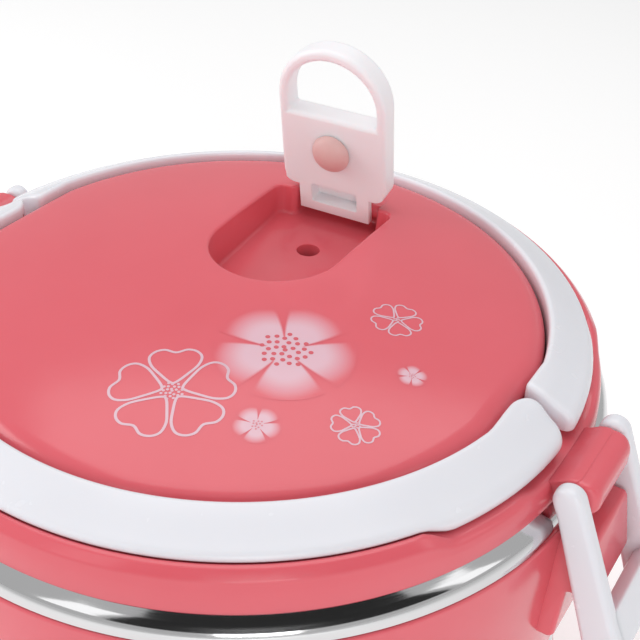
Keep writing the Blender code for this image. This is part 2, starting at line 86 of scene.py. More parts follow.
VENT_TURN = 5.0
VENT_Y = 29.6
VENT_RADIUS = 2.7
POCKET_FLOOR = -6.0
TAB_HINGE_Y = 47.3
TAB_HINGE_Z = -0.8
TAB_LEAN = 9.5
TAB_FRONT = -4.2
TAB_BACK = 1.8
TAB_PLATE_BACK = -2.4
TAB_BASE = -1.5
PLUG_HEIGHT = 17.1

BIG_SOFT_FLOWER = (22.3, -18.0)
BIG_LINE_FLOWER = (11.3, -39.6)
SMALL_LINE_FLOWERS = (((34.9, 4.6), 5.3, 20.0), ((44.1, -27.2), 4.6, 65.0))     # centre, radius, turn
SMALL_SOFT_FLOWERS = (((29.4, -37.8), 4.6, 10.0), ((45.9, -8.9), 3.1, 40.0))
INK_LIFT = 0.04             # line flowers and their dots lie this far above the plastic
SOFT_INK_LIFT = 0.03        # soft petals lie just under their own dots
SOFT_DOT_LIFT = 0.05
GOLDEN_ANGLE = 2.39996      # radians from one dot of a flower's middle to the next

ROUND = 256                 # stations round the lid, the shells and the bowls
CARD_REACH = 1.0            # metres from the carrier to the reflection cards
STUDIO_MIDDLE = (0.0, 0.0, 0.14)


# Curves and outlines

def arc(centre, radii, start, end, steps):
    points = []
    for index in range(steps + 1):
        angle = math.radians(start + (end - start) * index / steps)
        points.append((centre[0] + radii[0] * math.cos(angle), centre[1] + radii[1] * math.sin(angle)))
    return points


def curve_between(start, first, second, end, steps):
    """Cubic curve from start to end, both included."""
    points = []
    for index in range(steps + 1):
        t = index / steps
        s = 1.0 - t
        weights = (s ** 3, 3.0 * s * s * t, 3.0 * s * t * t, t ** 3)
        four = (start, first, second, end)
        points.append(tuple(sum(w * p[axis] for w, p in zip(weights, four)) for axis in (0, 1)))
    return points


def rounded(points, radius, steps=3, closed=False):
    """Every corner replaced with a small curve that stays inside it."""
    result = []
    count = len(points)
    for index, corner in enumerate(points):
        if not closed and index in (0, count - 1):
            result.append(corner)
            continue
        here = Vector(corner)
        before = Vector(points[index - 1]) - here
        after = Vector(points[(index + 1) % count]) - here
        reach = min(radius, 0.45 * before.length, 0.45 * after.length)
        start = here + before.normalized() * reach
        end = here + after.normalized() * reach
        for step in range(steps + 1):
            t = step / steps
            point = start * (1.0 - t) ** 2 + here * (2.0 * t * (1.0 - t)) + end * t ** 2
            result.append((point.x, point.y))
    return result


def grown(outline, amount):
    """Closed outline, listed anticlockwise, moved outwards by an amount."""
    result = []
    count = len(outline)
    for index, corner in enumerate(outline):
        here = Vector(corner)
        before = (here - Vector(outline[index - 1])).normalized()
        after = (Vector(outline[(index + 1) % count]) - here).normalized()
        out = (Vector((before.y, -before.x)) + Vector((after.y, -after.x))).normalized()
        scale = amount / max(0.4, out.dot(Vector((after.y, -after.x))))
        moved = here + out * scale
        result.append((moved.x, moved.y))
    return result


def contains(outline, point):
    inside = False
    x, y = point
    for index, (x1, y1) in enumerate(outline):
        x0, y0 = outline[index - 1]
        if (y0 > y) != (y1 > y) and x < x0 + (x1 - x0) * (y - y0) / (y1 - y0):
            inside = not inside
    return inside


def blend(low, high, amount):
    return low + (high - low) * amount


def ramp(value, low, high):
    return min(1.0, max(0.0, (value - low) / (high - low)))


# Meshes

def add_loop(mesh_data, points):
    return [mesh_data.verts.new((x * MM, y * MM, z * MM)) for x, y, z in points]


def bridge(mesh_data, first, second, wrap=True):
    count = len(first)
    for index in range(count if wrap else count - 1):
        after = (index + 1) % count
        corners = (first[index], first[after], second[after], second[index])
        mesh_data.faces.new(corners)


def add_stack(mesh_data, loops):
    """Closed loops of (x, y, z) points, joined one to the next."""
    rows = [add_loop(mesh_data, loop) for loop in loops]
    for first, second in zip(rows, rows[1:]):
        bridge(mesh_data, first, second)
    return rows


def add_turned(mesh_data, section, count=ROUND):
    """Surface turned about Z from a section(azimuth) of (radius, height) points."""
    rows = []
    for index in range(count):
        azimuth = 360.0 * index / count
        c = math.cos(math.radians(azimuth))
        s = math.sin(math.radians(azimuth))
        rows.append(add_loop(mesh_data, [(r * c, r * s, z + LID_EDGE_Z) for r, z in section(azimuth)]))
    for index, row in enumerate(rows):
        bridge(mesh_data, row, rows[(index + 1) % count], wrap=False)


def add_region(mesh_data, outer, holes, spots, height):
    """Triangles between an outer outline and its holes; height(x, y) gives each point's z."""
    points = [Vector(point) for point in outer]
    edges = [(index, (index + 1) % len(outer)) for index in range(len(outer))]
    for hole in holes:
        start = len(points)
        points += [Vector(point) for point in hole]
        edges += [(start + index, start + (index + 1) % len(hole)) for index in range(len(hole))]
    points += [Vector(spot) for spot in spots]
    triangulation = geometry.delaunay_2d_cdt(points, edges, [], 0, 1e-5)
    corners = triangulation[0]
    faces = triangulation[2]
    verts = add_loop(mesh_data, [(p.x, p.y, height(p.x, p.y)) for p in corners])
    for face in faces:
        middle = sum((corners[index] for index in face), Vector((0.0, 0.0))) / len(face)
        if contains(outer, middle) and not any(contains(hole, middle) for hole in holes):
            mesh_data.faces.new([verts[index] for index in face])


def axis_place(axis, depth, first, second):
    return {"X": (depth, first, second), "Y": (first, depth, second), "Z": (first, second, depth)}[axis]


def anticlockwise(outline):
    area = 0.0
    for index, (x1, y1) in enumerate(outline):
        x0, y0 = outline[index - 1]
        area += x0 * y1 - x1 * y0
    return outline if area > 0.0 else list(reversed(outline))


def add_slab(mesh_data, outline, low, high, axis, edge, steps=4):
    """Outline extruded along an axis with rounded edges at both ends."""
    outline = anticlockwise(outline)
    loops = []
    for end, sign in ((low, 1.0), (high, -1.0)):
        steps_here = range(steps + 1) if sign > 0.0 else range(steps, -1, -1)
        for step in steps_here:
            angle = math.radians(90.0 * step / steps)
            shape = grown(outline, -edge * (1.0 - math.sin(angle)))
            depth = end + sign * edge * (1.0 - math.cos(angle))
            loops.append([axis_place(axis, depth, first, second) for first, second in shape])
    rows = add_stack(mesh_data, loops)
    mesh_data.faces.new(rows[0])
    mesh_data.faces.new(rows[-1])


def finish_mesh(name, mesh_data, material, body, nodes, sharp=40.0, merge=1e-7):
    """Object from the mesh, riding on its body and standing for its CAD nodes."""
    bmesh.ops.remove_doubles(mesh_data, verts=mesh_data.verts, dist=merge)
    bmesh.ops.recalc_face_normals(mesh_data, faces=mesh_data.faces)
    mesh = bpy.data.meshes.new(name)
    mesh_data.to_mesh(mesh)
    mesh_data.free()
    mesh.shade_smooth()
    mesh.set_sharp_from_angle(angle=math.radians(sharp))
    piece = bpy.data.objects.new(name, mesh)
    mesh.materials.append(material)
    bpy.context.scene.collection.objects.link(piece)
    if body:
        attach(piece, body)
        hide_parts(*nodes)
    return piece


def solid(name, outline, low, high, axis):
    """Plain prism used as a starting block or as a cutting tool."""
    mesh_data = bmesh.new()
    loops = [[axis_place(axis, depth, first, second) for first, second in outline] for depth in (low, high)]
    rows = add_stack(mesh_data, loops)
    mesh_data.faces.new(rows[0])
    mesh_data.faces.new(rows[1])
    bmesh.ops.recalc_face_normals(mesh_data, faces=mesh_data.faces)
    mesh = bpy.data.meshes.new(name)
    mesh_data.to_mesh(mesh)
    mesh_data.free()
    piece = bpy.data.objects.new(name, mesh)
    bpy.context.scene.collection.objects.link(piece)
    return piece


def carved(block, tools):
    """Block less its tools, as a new mesh; the block and tools are thrown away."""
    for tool in tools:
        modifier = block.modifiers.new(tool.name, "BOOLEAN")
        modifier.operation = "DIFFERENCE"
        modifier.solver = "EXACT"
        modifier.object = tool
    depsgraph = bpy.context.evaluated_depsgraph_get()
    mesh_data = bmesh.new()
    mesh_data.from_mesh(block.evaluated_get(depsgraph).to_mesh())
    for item in [block] + tools:
        bpy.data.objects.remove(item, do_unlink=True)
    return mesh_data


def soften(mesh_data, amount, keep_off, segments=4):
    """Rounds the crisp edges, apart from those that keep_off(midpoint in mm) names."""
    bmesh.ops.remove_doubles(mesh_data, verts=mesh_data.verts, dist=1e-6)
    bmesh.ops.dissolve_degenerate(mesh_data, edges=mesh_data.edges, dist=1e-6)
    crisp = []
    for edge in mesh_data.edges:
        middle = (edge.verts[0].co + edge.verts[1].co) / (2.0 * MM)
        if len(edge.link_faces) == 2 and edge.calc_face_angle() > math.radians(32.0) and not keep_off(middle):
            crisp.append(edge)
    bmesh.ops.bevel(mesh_data, geom=crisp, offset=amount * MM, segments=segments, profile=0.5,
                    affect="EDGES", clamp_overlap=False, offset_type="OFFSET")


def weight_normals(piece):
    modifier = piece.modifiers.new("even_shading", "WEIGHTED_NORMAL")
    modifier.keep_sharp = True
    modifier.weight = 60


# Materials

def make_nodes(name):
    material = bpy.data.materials.new(name)
    material.use_nodes = True
    tree = material.node_tree
    return material, tree, tree.nodes["Principled BSDF"]


def add_node(tree, kind, **values):
    node = tree.nodes.new(kind)
    for key, value in values.items():
        if hasattr(node, key):
            setattr(node, key, value)
        else:
            node.inputs[key.replace("_", " ")].default_value = value
    return node


def noise(tree, scale, detail=3.0, stretch=(1.0, 1.0, 1.0)):
    place = add_node(tree, "ShaderNodeTexCoord")
    mapping = add_node(tree, "ShaderNodeMapping")
    mapping.inputs["Scale"].default_value = stretch
    texture = add_node(tree, "ShaderNodeTexNoise")
    texture.inputs["Scale"].default_value = scale
    texture.inputs["Detail"].default_value = detail
    tree.links.new(place.outputs["Object"], mapping.inputs["Vector"])
    tree.links.new(mapping.outputs["Vector"], texture.inputs["Vector"])
    return texture.outputs["Fac"]


def spread(tree, source, low, high):
    """Noise brought to a range of values."""
    node = add_node(tree, "ShaderNodeMapRange")
    node.inputs["From Min"].default_value = 0.3
    node.inputs["From Max"].default_value = 0.7
    node.inputs["To Min"].default_value = low
    node.inputs["To Max"].default_value = high
    tree.links.new(source, node.inputs["Value"])
    return node.outputs["Result"]


def mixed_colour(tree, factor, first, second):
    node = add_node(tree, "ShaderNodeMix", data_type="RGBA")
    tree.links.new(factor, node.inputs["Factor"])
    for socket, value in ((node.inputs[6], first), (node.inputs[7], second)):
        if isinstance(value, tuple):
            socket.default_value = value
        else:
            tree.links.new(value, socket)
    return node.outputs[2]


def add_bump(tree, shader, source, distance, strength=1.0):
    node = add_node(tree, "ShaderNodeBump")
    node.inputs["Strength"].default_value = strength
    node.inputs["Distance"].default_value = distance
    tree.links.new(source, node.inputs["Height"])
    tree.links.new(node.outputs["Normal"], shader.inputs["Normal"])


def moulded_plastic(name, colour, shade, roughness, glow=0.0, glow_radius=(1.0, 0.4, 0.3)):
    """Glossy moulded plastic: faint cloudiness, uneven gloss and a very shallow mould ripple."""
    material, tree, shader = make_nodes(name)
    clouds = spread(tree, noise(tree, 38.0, 4.0), 0.0, 1.0)
    base = mixed_colour(tree, clouds, colour, shade)
    tree.links.new(base, shader.inputs["Base Color"])
    gloss = spread(tree, noise(tree, 240.0, 5.0), roughness - 0.025, roughness + 0.035)
    tree.links.new(gloss, shader.inputs["Roughness"])
    shader.inputs["IOR"].default_value = 1.49
    shader.inputs["Subsurface Weight"].default_value = glow
    shader.inputs["Subsurface Radius"].default_value = glow_radius
    shader.inputs["Subsurface Scale"].default_value = 0.0022
    add_bump(tree, shader, noise(tree, 420.0, 2.0), 0.00002, 0.35)
    return material, tree, shader, base


def printed_plastic(pink, print_colour):
    """The lid's plastic with its print: the attribute 'print' runs from bare plastic to full ink."""
    material, tree, shader, base = moulded_plastic("flower_print", *pink)
    ink = add_node(tree, "ShaderNodeAttribute")
    ink.attribute_name = "print"
    tree.links.new(mixed_colour(tree, ink.outputs["Fac"], base, print_colour), shader.inputs["Base Color"])
    return material


def spun_steel(name, lightness, roughness, along):
    """Polished stainless steel with fine marks that run round the vertical axis."""
    material, tree, shader = make_nodes(name)
    place = add_node(tree, "ShaderNodeTexCoord")
    parts = add_node(tree, "ShaderNodeSeparateXYZ")
    tree.links.new(place.outputs["Object"], parts.inputs["Vector"])
    squares = []
    for axis in ("X", "Y"):
        square = add_node(tree, "ShaderNodeMath", operation="MULTIPLY")
        tree.links.new(parts.outputs[axis], square.inputs[0])
        tree.links.new(parts.outputs[axis], square.inputs[1])
        squares.append(square.outputs[0])
    total = add_node(tree, "ShaderNodeMath", operation="ADD")
    tree.links.new(squares[0], total.inputs[0])
    tree.links.new(squares[1], total.inputs[1])
    radius = add_node(tree, "ShaderNodeMath", operation="SQRT")
    tree.links.new(total.outputs[0], radius.inputs[0])
    lines = add_node(tree, "ShaderNodeCombineXYZ")
    tree.links.new(radius.outputs[0], lines.inputs["X"])
    tree.links.new(parts.outputs["Z"], lines.inputs["Y"])
    marks = add_node(tree, "ShaderNodeTexNoise")
    marks.inputs["Scale"].default_value = along
    marks.inputs["Detail"].default_value = 6.0
    tree.links.new(lines.outputs[0], marks.inputs["Vector"])
    tone = mixed_colour(tree, spread(tree, noise(tree, 30.0), 0.0, 1.0),
                        (lightness, lightness, lightness * 1.01, 1.0),
                        (lightness * 0.94, lightness * 0.94, lightness * 0.95, 1.0))
    tree.links.new(tone, shader.inputs["Base Color"])
    tree.links.new(spread(tree, marks.outputs["Fac"], roughness * 0.7, roughness * 1.4),
                   shader.inputs["Roughness"])
    shader.inputs["Metallic"].default_value = 1.0
    add_bump(tree, shader, marks.outputs["Fac"], 0.00001, 0.25)
    return material


def silicone_rubber(name, colour, shade):
    material, tree, shader = make_nodes(name)
    tree.links.new(mixed_colour(tree, spread(tree, noise(tree, 150.0), 0.0, 1.0), colour, shade),
                   shader.inputs["Base Color"])
    tree.links.new(spread(tree, noise(tree, 700.0, 4.0), 0.38, 0.55), shader.inputs["Roughness"])
    shader.inputs["Subsurface Weight"].default_value = 0.25
    shader.inputs["Subsurface Radius"].default_value = (1.0, 0.6, 0.5)
    shader.inputs["Subsurface Scale"].default_value = 0.002
    add_bump(tree, shader, noise(tree, 1500.0), 0.00002, 0.3)
    return material


PINK = ((0.755, 0.126, 0.158, 1.0), (0.735, 0.118, 0.148, 1.0), 0.17, 0.12)
WHITE = ((0.80, 0.80, 0.845, 1.0), (0.785, 0.783, 0.83, 1.0), 0.24, 0.25, (0.9, 0.75, 0.7))
MILKY = ((0.90, 0.91, 0.93, 1.0), (0.88, 0.88, 0.90, 1.0), 0.34, 0.4, (1.0, 0.7, 0.65))

pink_plastic = moulded_plastic("pink_plastic_shell", *PINK)[0]
white_plastic = moulded_plastic("white_plastic_handle", *WHITE)[0]
milky_plastic, milky_tree, milky_shader, milky_base = moulded_plastic("milky_plastic_tab", *MILKY)
print_plastic = printed_plastic(PINK, (0.76, 0.50, 0.575, 1.0))
steel = spun_steel("spun_steel_bowl", 0.74, 0.09, 5200.0)
pin_steel = spun_steel("turned_steel_pin", 0.66, 0.22, 3000.0)
silicone = silicone_rubber("silicone_plug", (0.78, 0.52, 0.49, 1.0), (0.74, 0.46, 0.44, 1.0))
seal = silicone_rubber("silicone_seal", (0.80, 0.79, 0.78, 1.0), (0.74, 0.73, 0.72, 1.0))


def paint_tab_lid_bounce():
    """The tab's translucent plastic: pinker low down, near the lid, and whiter at its loop; the pink near the
    lid is painted bounce light from the pink lid, laid into the colour.
    """
    place = add_node(milky_tree, "ShaderNodeTexCoord")
    parts = add_node(milky_tree, "ShaderNodeSeparateXYZ")
    # Painted bounce light: this height ramp is the mask that fades the lid's pink bounce out of the tab's
    # colour towards its loop.
    height = add_node(milky_tree, "ShaderNodeMapRange")
    height.interpolation_type = "SMOOTHSTEP"
    height.inputs["From Min"].default_value = (LID_EDGE_Z + 18.0) * MM
    height.inputs["From Max"].default_value = (LID_EDGE_Z + 34.0) * MM
    milky_tree.links.new(place.outputs["Object"], parts.inputs["Vector"])
    milky_tree.links.new(parts.outputs["Z"], height.inputs["Value"])
    # Colour mixed by height: the low, lid-side tone carries painted pink bounce light, and the loop takes the
    # whiter tone.
    lid_bounce_colour = mixed_colour(milky_tree, height.outputs["Result"], milky_base, (0.90, 0.885, 0.915, 1.0))
    milky_tree.links.new(lid_bounce_colour, milky_shader.inputs["Base Color"])


paint_tab_lid_bounce()


# Lid cover

def dome_height(radius):
    return DOME_TOP - DOME_FALL * (radius / DOME_SPAN) ** 2


def from_clip_axis(azimuth):
    folded = abs(azimuth) % 180.0
    return min(folded, 180.0 - folded)


def flat_limited(radius, flat_x, azimuth):
    """Radius cut off by a flat, with the corner between them eased."""
    flat = flat_x / max(0.2, math.cos(math.radians(from_clip_axis(azimuth))))
    softness = 0.25
    gap = math.sqrt((radius - flat) ** 2 + softness ** 2)
    return min(min(radius, flat), 0.5 * (radius + flat - gap) + 0.1)


def grip_amount(azimuth):
    return ramp(from_clip_axis(azimuth), GRIP_AZIMUTH - GRIP_BLEND, GRIP_AZIMUTH + GRIP_BLEND)


def lid_side(azimuth):
    """Section from the dome's rolled edge down the channel and over the flange to its underside."""
    edge = flat_limited(DOME_RADIUS, FLAT_X, azimuth)
    grip = grip_amount(azimuth)
    floor = blend(PAD_FLOOR, CHANNEL_FLOOR, ramp(from_clip_axis(azimuth), 9.5, 13.4))
    start = (edge - 4.2, dome_height(edge - 4.2))
    roll = curve_between(start, (edge - 2.0, start[1] - 0.34), (edge, -2.4), (edge, -4.8), 10)
    flange = [(edge, floor), (73.5, floor),
              (blend(74.6, 73.8, grip), blend(floor, -5.9, grip)),
              (blend(76.3, 75.0, grip), blend(floor, -5.8, grip)),
              (blend(76.9, 75.5, grip), blend(floor - 0.1, -5.1, grip)),
              (blend(77.5, 76.4, grip), blend(floor - 0.5, -5.2, grip)),
              (77.9, blend(floor - 1.1, -6.8, grip)), (78.25, blend(floor - 2.4, -9.2, grip)),
              (FLANGE_RADIUS, -14.3), (77.5, -13.9), (76.3, -12.8), (76.2, -10.9)]
    return roll[:-1] + rounded([roll[-1]] + flange, 0.6, 3)


def vent_frame(points):
    c = math.cos(math.radians(VENT_TURN))
    s = math.sin(math.radians(VENT_TURN))
    return [(x * c - y * s, x * s + y * c) for x, y in points]


def vent_matrix(lean):
    """Places a piece built about the tab's hinge axis."""
    x, y = vent_frame([(0.0, TAB_HINGE_Y)])[0]
    place = Matrix.Translation((x * MM, y * MM, (LID_EDGE_Z + TAB_HINGE_Z) * MM))
    turn = Matrix.Rotation(math.radians(VENT_TURN), 4, "Z")
    return place @ turn @ Matrix.Rotation(math.radians(lean), 4, "X")


def pocket_outline():
    """Pocket in plan, anticlockwise: round in front, with the hinge bay behind."""
    front = arc((0.0, 14.0), (15.1, 16.0), 180.0, 360.0, 40)
    side = curve_between((15.1, 14.0), (15.3, 22.0), (15.6, 33.0), (15.6, 40.6), 12)[1:]
    corner = arc((13.2, 40.6), (2.4, 2.9), 0.0, 90.0, 8)[1:]
    inner = arc((12.5, 45.0), (1.5, 1.5), 270.0, 180.0, 8)
    bay = arc((9.0, 48.4), (2.0, 2.0), 0.0, 90.0, 8)
    right = side + corner + inner + bay
    left = [(-x, y) for x, y in reversed(right)]
    return vent_frame(front + right + left)


def raised(outline, height):
    return [(x, y, LID_EDGE_Z + height) for x, y in outline]


def on_dome(outline, drop):
    return [(x, y, LID_EDGE_Z + dome_height(math.hypot(x, y)) - drop) for x, y in outline]


def corner_loss(size, distance):
    """How far a quarter-round corner of that size falls back at a distance from its end."""
    remaining = max(0.0, size - distance)
    return size - math.sqrt(max(0.0, size * size - remaining * remaining))


def lug_outline():
    """Lug in side view: it climbs from the pad, with a small step across its top."""
    return [(75.9, -9.7), (77.4, -8.9), (80.2, -7.25), (82.0, -7.0), (82.15, -7.2), (84.2, -7.2),
            (85.6, -7.8), (86.4, -9.3), (86.4, -13.0), (85.2, -14.2), (78.6, -14.2), (77.6, -13.6),
            (76.8, -12.4), (75.9, -10.6)]


def add_lugs(mesh_data, drop):
    """Clip lugs, rounded at their outer corners in plan and along their top edges."""
    steps = (0.0, 0.08, 0.25, 0.5, 0.85, 1.3, 1.9, 2.6, 3.2)
    places = [-LUG_HALF_WIDTH + step for step in steps] + [LUG_HALF_WIDTH - step for step in reversed(steps)]
    for sign in (1.0, -1.0):
        loops = []
        for y in places:
            distance = LUG_HALF_WIDTH - abs(y)
            back = corner_loss(LUG_CORNER, distance)
            down = corner_loss(0.8, distance)
            loop = []
            for x, z in rounded(lug_outline(), 1.0, 4, True):
                outward = x - back * ramp(x, 77.5, 86.4)
                height = z - down * (2.0 * ramp(z, -14.2, -7.0) - 1.0)
                loop.append((sign * outward, y, height + LID_EDGE_Z - drop))
            loops.append(loop)
        rows = add_stack(mesh_data, loops)
        mesh_data.faces.new(rows[0])
        mesh_data.faces.new(rows[-1])


def build_lid_cover():
    mesh_data = bmesh.new()
    add_turned(mesh_data, lid_side)
    rim = []
    for index in range(ROUND):
        azimuth = 360.0 * index / ROUND
        radius = lid_side(azimuth)[0][0]
        rim.append((radius * math.cos(math.radians(azimuth)), radius * math.sin(math.radians(azimuth))))
    pocket = pocket_outline()
    lip = 0.7
    mouth = grown(pocket, lip)
    clear_of_mouth = grown(pocket, lip + 1.2)
    spots = []
    for radius in range(0, 60, 3):
        count = max(1, round(2.0 * math.pi * radius / 3.2))
        for index in range(count):
            angle = 2.0 * math.pi * index / count
            spot = (radius * math.cos(angle), radius * math.sin(angle))
            if not contains(clear_of_mouth, spot):
                spots.append(spot)
    add_region(mesh_data, rim, [mouth], spots, lambda x, y: LID_EDGE_Z + dome_height(math.hypot(x, y)))
    walls = []
    for step in range(7):
        angle = math.radians(15.0 * step)
        walls.append(on_dome(grown(pocket, lip * (1.0 - math.sin(angle))), lip * (1.0 - math.cos(angle))))
    fillet = 0.9
    for step in range(6):
        angle = math.radians(18.0 * step)
        inset = 0.2 + fillet * (1.0 - math.cos(angle))
        walls.append(raised(grown(pocket, -inset), POCKET_FLOOR + fillet * (1.0 - math.sin(angle))))
    add_stack(mesh_data, walls)
    centre = vent_frame([(0.0, VENT_Y)])[0]
    holes = []
    for radius, height in ((VENT_RADIUS + 0.35, POCKET_FLOOR), (VENT_RADIUS + 0.1, POCKET_FLOOR - 0.08),
                           (VENT_RADIUS, POCKET_FLOOR - 0.35), (VENT_RADIUS, -10.9)):
        holes.append(raised(arc(centre, (radius, radius), 0.0, 354.0, 59), height))
    add_stack(mesh_data, holes)
    floor = grown(pocket, -0.2 - fillet)
    vent_edge = [point[:2] for point in holes[0]]
    add_region(mesh_data, floor, [vent_edge], [], lambda x, y: LID_EDGE_Z + POCKET_FLOOR)
    under = []
    for index in range(ROUND):
        angle = 2.0 * math.pi * index / ROUND
        under.append((76.2 * math.cos(angle), 76.2 * math.sin(angle)))
    add_region(mesh_data, under, [[point[:2] for point in holes[-1]]], [], lambda x, y: LID_EDGE_Z - 10.9)
    bmesh.ops.remove_doubles(mesh_data, verts=mesh_data.verts, dist=2e-6)
    bmesh.ops.recalc_face_normals(mesh_data, faces=mesh_data.faces)
    add_lugs(mesh_data, 0.0)
    for sign in (1.0, -1.0):
        ear = arc((0.0, 0.0), (1.9, 1.9), 90.0, 270.0, 14) + [(3.6, -1.9), (3.6, 1.6), (0.6, 1.9)]
        start = len(mesh_data.verts)
        low, high = sorted((sign * 7.8, sign * 11.4))
        add_slab(mesh_data, ear, low, high, "X", 0.3)
        mesh_data.verts.ensure_lookup_table()
        bmesh.ops.transform(mesh_data, matrix=vent_matrix(0.0), verts=mesh_data.verts[start:])
    finish_mesh("lid_cover_shell", mesh_data, pink_plastic, "lid", ["lid_cover", "vent_cup"], 38.0)


# Carrying handle

def handle_section(azimuth):
    inner = flat_limited(HANDLE_INNER, HANDLE_FLAT_X, azimuth)
    grip = grip_amount(azimuth)
    crown = [(inner, -0.75), (inner + 0.35, -0.15), (inner + 1.0, 0.0), (68.6, -0.85), (70.8, -1.95),
             (72.8, -2.95), (74.4, -3.7)]
    lip = [(blend(75.2, 75.0, grip), blend(-4.4, -4.2, grip)),
           (blend(75.8, 75.2, grip), blend(-5.6, -4.9, grip)),
           (blend(75.6, 74.9, grip), blend(HANDLE_BOTTOM, -5.5, grip)),
           (blend(73.4, 73.2, grip), blend(HANDLE_BOTTOM, -5.6, grip))]
    return rounded([(inner, HANDLE_BOTTOM)] + crown + lip + [(73.1, HANDLE_BOTTOM)], 0.8, 3, True)


def end_eased(points, distance, inner_corner, outer_corner):
    """Section near the handle's end: both corners and the top edge rounded off."""
    low = min(radius for radius, height in points)
    high = max(radius for radius, height in points)
    top = max(height for radius, height in points)
    inner_loss = corner_loss(inner_corner, distance)
    outer_loss = corner_loss(outer_corner, distance)
    top_loss = corner_loss(1.3, distance)
    eased = []
    for radius, height in points:
        place = (radius - low) / (high - low)
        level = max(0.0, (height - HANDLE_BOTTOM) / (top - HANDLE_BOTTOM))
        eased.append((blend(low + inner_loss, high - outer_loss, place), height - top_loss * level))
    return eased


def build_handle(name, sign, end_y, corners, body, node):
    """Half ring on the sign's side; its ends stop at end_y, with inner and outer corner sizes."""
    mesh_data = bmesh.new()
    stations = []
    ends = (0.0, 0.12, 0.4, 0.8, 1.3, 1.9, 2.6, 3.4, 4.3, 5.2, 6.0, 6.9, 7.8)
    for distance in ends:
        stations.append(("flat", distance))
    end = sign * end_y
    first = math.degrees(math.asin((end + ends[-1]) / HANDLE_FLAT_X)) + 1.3
    count = 118
    for index in range(count + 1):
        stations.append(("turned", first + (180.0 - 2.0 * first) * index / count))
    for distance in reversed(ends):
        stations.append(("flat_left", distance))
    rows = []
    for kind, value in stations:
        points = []
        if kind == "turned":
            for radius, height in handle_section(value):
                angle = math.radians(value)
                points.append((radius * math.cos(angle), sign * radius * math.sin(angle),
                               LID_EDGE_Z + height))
        else:
            y = end + value
            side = 1.0 if kind == "flat" else -1.0
            azimuth = math.degrees(math.asin(y / 70.0))
            for radius, height in end_eased(handle_section(azimuth), value, *corners):
                x = math.sqrt(radius * radius - y * y)
                points.append((side * x, sign * y, LID_EDGE_Z + height))
        rows.append(add_loop(mesh_data, points))
    for before, after in zip(rows, rows[1:]):
        bridge(mesh_data, before, after)
    mesh_data.faces.new(rows[0])
    mesh_data.faces.new(rows[-1])
    finish_mesh(name, mesh_data, white_plastic, body, [node], 50.0)


def build_handle_pins():
    """Steel pins that the handles' ends turn on; they stay inside the ends."""
    for end, pivot_y in (("front", FRONT_PIVOT_Y), ("rear", REAR_PIVOT_Y)):
        outline = arc((pivot_y, LID_EDGE_Z + PIVOT_Z), (PIN_RADIUS, PIN_RADIUS), 0.0, 345.0, 23)
        for side, sign in (("right", 1.0), ("left", -1.0)):
            mesh_data = bmesh.new()
            low, high = sorted((sign * PIN_INNER_X, sign * PIN_OUTER_X))
            add_slab(mesh_data, outline, low, high, "X", 0.15)
            node = f"handle_pin_{end}_{side}"
            finish_mesh(f"{node}_steel", mesh_data, pin_steel, "lid", [node])


# Steam vent tab and its plug, built about the hinge axis

def tab_outline():
    neck = 9.4
    half = 13.8
    shoulder = 5.5
    left_corner = arc((-half + 3.2, shoulder + 3.2), (3.2, 3.2), 270.0, 180.0, 8)
    right_corner = arc((half - 3.2, shoulder + 3.2), (3.2, 3.2), 0.0, -90.0, 8)
    arch = arc((0.0, 30.0), (half, 13.65), 180.0, 0.0, 40)
    return [(neck, TAB_BASE), (-neck, TAB_BASE), (-neck, shoulder)] + left_corner + arch + right_corner + [
        (neck, shoulder)]


def box_outline(low_x, low_z, high_x, high_z):
    return [(low_x, low_z), (high_x, low_z), (high_x, high_z), (low_x, high_z)]


def build_vent_tab():
    block = solid("tab_block", tab_outline(), TAB_FRONT, TAB_BACK, "Y")
    loop = rounded([(-11.3, 26.1), (11.3, 26.1)], 0.8) + arc((0.0, 30.0), (11.3, 10.8), 0.0, 180.0, 36)
    tools = [solid("tab_loop", loop, -9.0, 9.0, "Y"),
             solid("tab_recess", rounded(box_outline(-6.2, 1.1, 6.2, 6.3), 0.7, 4, True), -9.0,
                   TAB_FRONT + 3.8, "Y")]
    for sign in (1.0, -1.0):
        tools.append(solid("tab_side", box_outline(sign * 7.4, TAB_BASE - 2.0, sign * 12.0, 5.3),
                           TAB_PLATE_BACK, 9.0, "Y"))
    tools.append(solid("tab_bore", arc((0.0, 0.0), (0.95, 0.95), 0.0, 345.0, 23), -9.0, 9.0, "X"))
    tools.append(solid("tab_plug_bore", arc((0.0, PLUG_HEIGHT), (2.6, 2.6), 0.0, 350.0, 35), -9.0, 9.0, "Y"))
    mesh_data = carved(block, tools)

    def kept(middle):
        bore = math.hypot(middle.y, middle.z) < 1.2
        plug = math.hypot(middle.x, middle.z - PLUG_HEIGHT) < 3.0
        low = middle.z < 6.9
        return bore or plug or low

    soften(mesh_data, 1.15, kept, 5)
    bmesh.ops.transform(mesh_data, matrix=vent_matrix(TAB_LEAN), verts=mesh_data.verts)
    piece = finish_mesh("vent_tab_body", mesh_data, milky_plastic, "vent_cap", ["vent_tab"], 40.0)
    weight_normals(piece)


